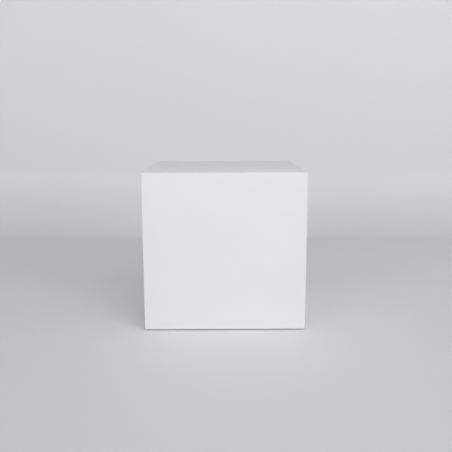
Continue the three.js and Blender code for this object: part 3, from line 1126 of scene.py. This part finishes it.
def pad_body():
    """A foot pad: a recess for its disc, the rim, the fluted collar and the stem's socket."""
    low, high = span("pad")
    rim, collar = PAD["rim"], PAD["collar"]
    socket = THREAD_RADIUS + PAD["socket_clearance"]
    sole, brim, bend = PAD["sole_round"], PAD["brim_round"], PAD["fillet"]
    edge = DISC["rim"] + FIT
    pad = Turning(even_angles(FINE_SIDES))
    pad.rings([(0.4 * MM, low + DISC["sunk"]), (edge, low + DISC["sunk"]), (edge + 0.1 * MM, low)])
    pad.rings(arc((rim - sole, low + sole), sole, -80, 0, 5))
    pad.rings(arc((rim - brim, low + PAD["brim"]), brim, 0, 62, 5))
    pad.rings([(rim - inwards * MM, low + rise * MM) for inwards, rise in PAD_SLOPE])
    fillet = arc((collar + bend, low + PAD["fillet_at"]), bend, 248, 180, 6)
    for k, (radius, height) in enumerate(fillet):
        pad.ring(fluted(radius, PAD["flute_depth"] * k / len(fillet)), height)
    for inset, height in ((0, high - 0.45 * MM), (0.12 * MM, high - 0.13 * MM), (0.45 * MM, high)):
        pad.ring(fluted(collar - inset, PAD["flute_depth"]), height)
    pad.rings([(socket + 0.3 * MM, high), (socket, high - 0.3 * MM), (socket, PAD["socket_floor"])])
    return pad.capped()


def disc_body():
    """A disc with round grooves in its sole."""
    top = span("pad")[0] + DISC["sunk"]
    rim, edge = DISC["rim"], DISC["round"]
    disc = Turning(even_angles(FINE_SIDES))
    disc.ring(DISC["middle"], 0)
    for groove in GROOVES:
        for out, rise in GROOVE:
            disc.ring((groove + out) * MM, rise * MM)
    disc.rings(arc((rim - edge, edge), edge, -90, 0, 4))
    disc.ring(rim, top)
    return disc.capped()


def make_foot_part(look, part, body, mesh):
    """One mesh for the same part of all four feet, which rides on each foot's own body."""
    shade(mesh)
    for corner, at in foot_places().items():
        node = f"{corner}_{part}"
        stand_in(f"{look}_{node}", mesh, f"{corner}_{body}", node, upright(at))


def make_feet():
    stem = to_mesh("stem", stem_body(), ZINC)
    pad = to_mesh("pad", pad_body(), NYLON)
    disc = to_mesh("disc", disc_body(), RUBBER)
    make_foot_part("threaded", "stem", "spindle", stem)
    make_foot_part("moulded", "pad", "foot", pad)
    make_foot_part("grooved", "anti_slip_disc", "foot", disc)


make_biscuits()
make_panels()
make_base()
make_battens()
make_screws()
make_tee_nuts()
make_feet()


# ---------------------------------------------------------------- studio


def studio_paper():
    """The pale, slightly cool sweep that the plinth stands on."""
    finish = Finish("studio_paper", (0.78, 0.775, 0.80), 0.45, specular=0.5)
    finish.roughness(finish.spread(finish.noise(0.3, detail=3), 0.3, 0.7, 0.38, 0.46))
    return finish.material


def make_sweep():
    """The floor and the wall behind, in one curve."""
    half, bend, radius = SWEEP["half_width"], SWEEP["bend"], SWEEP["radius"]
    profile = [(SWEEP["front"], 0.0), (bend, 0.0)]
    for k in range(1, SWEEP["steps"] + 1):
        turn = QUARTER * k / SWEEP["steps"]
        profile.append((bend + radius * math.sin(turn), radius * (1 - math.cos(turn))))
    profile.append((bend + radius, SWEEP["height"]))
    bm = bmesh.new()
    add_grid(bm, [[(-half, y, z), (half, y, z)] for y, z in profile])
    mesh = to_mesh("sweep", bm, studio_paper())
    mesh.shade_smooth()
    link("sweep", mesh)


def add_light(name, place, size, power, target=LIGHT_TARGET, spread=180):
    """A soft box that doesn't show in the picture itself. A grid narrows its spread in degrees."""
    data = bpy.data.lights.new(name, "AREA")
    data.shape = "RECTANGLE"
    data.size, data.size_y = size
    data.energy = power
    data.spread = math.radians(spread)
    data.color = LIGHT_COLOR
    lamp = bpy.data.objects.new(name, data)
    bpy.context.scene.collection.objects.link(lamp)
    aim = (Vector(target) - Vector(place)).to_track_quat("-Z", "Y")
    lamp.matrix_world = Matrix.Translation(place) @ aim.to_matrix().to_4x4()
    lamp.visible_camera = False


def make_lights():
    for name, values in LIGHTS.items():
        add_light(name, **values)


def make_surround():
    """Pale studio walls all round, which fade into a dim ceiling."""
    world = bpy.data.worlds.new("studio")
    world.use_nodes = True
    tree = world.node_tree
    background = tree.nodes["Background"]
    background.inputs["Color"].default_value = (*SURROUND_COLOR, 1)
    way = tree.nodes.new("ShaderNodeTexCoord").outputs["Generated"]
    parts = tree.nodes.new("ShaderNodeSeparateXYZ")
    fade = tree.nodes.new("ShaderNodeMapRange")
    fade.interpolation_type = "SMOOTHSTEP"
    fade.inputs["From Min"].default_value = math.sin(math.radians(SURROUND["walls_to"]))
    fade.inputs["From Max"].default_value = math.sin(math.radians(SURROUND["ceiling_from"]))
    fade.inputs["To Min"].default_value = SURROUND["walls"]
    fade.inputs["To Max"].default_value = SURROUND["ceiling"]
    tree.links.new(way, parts.inputs["Vector"])
    tree.links.new(parts.outputs["Z"], fade.inputs["Value"])
    tree.links.new(fade.outputs["Result"], background.inputs["Strength"])
    bpy.context.scene.world = world


def make_camera():
    data = bpy.data.cameras.new("camera")
    data.sensor_width = CAMERA["sensor"]
    data.lens = CAMERA["lens"]
    camera = bpy.data.objects.new("camera", data)
    bpy.context.scene.collection.objects.link(camera)
    yaw, pitch, roll = (math.radians(CAMERA[turn]) for turn in ("yaw", "pitch", "roll"))
    turns = Matrix.Rotation(-yaw, 4, "Z") @ Matrix.Rotation(QUARTER - pitch, 4, "X")
    camera.matrix_world = Matrix.Translation(CAMERA["place"]) @ turns @ Matrix.Rotation(-roll, 4, "Z")
    bpy.context.scene.camera = camera


make_sweep()
make_lights()
make_surround()
make_camera()
bpy.context.scene.view_settings.view_transform = "Standard"
